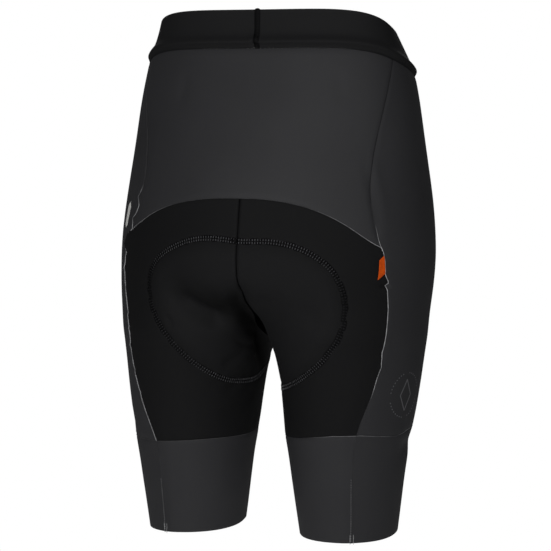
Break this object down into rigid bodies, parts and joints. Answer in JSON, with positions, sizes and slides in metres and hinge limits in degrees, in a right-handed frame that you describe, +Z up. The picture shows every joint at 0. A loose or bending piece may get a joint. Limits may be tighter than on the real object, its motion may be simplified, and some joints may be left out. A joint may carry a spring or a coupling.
{
  "type": "cycling shorts",
  "caption": "Close-fitting high-waisted cycling shorts, filled out as worn, with a wide elastic waistband, a curved black seat panel and wide leg bands; open at waist and hems.",
  "frame": {"origin": "middle of the waist opening, where a wearer holds the shorts up", "axes": "+Z up along the wearer, the front faces -Y, the wearer's left is +X"},
  "size_m": [0.338, 0.2289, 0.5419],
  "materials": {
    "brushed_elastic_black": "matt brushed elastic",
    "warp_knit_charcoal": "matt elastane warp knit with a soft sheen",
    "warp_knit_black": "matt elastane warp knit",
    "woven_ribbon_orange": "woven ribbon"
  },
  "bodies": {
    "root": {"waistband": "brushed_elastic_black", "back_yoke": "warp_knit_charcoal", "front_panel_left": "warp_knit_charcoal", "front_panel_right": "warp_knit_charcoal", "seat_panel_left": "warp_knit_black", "seat_panel_right": "warp_knit_black", "leg_band_left": "warp_knit_charcoal", "leg_band_right": "warp_knit_charcoal", "side_tab": "woven_ribbon_orange"}
  },
  "joints": []
}
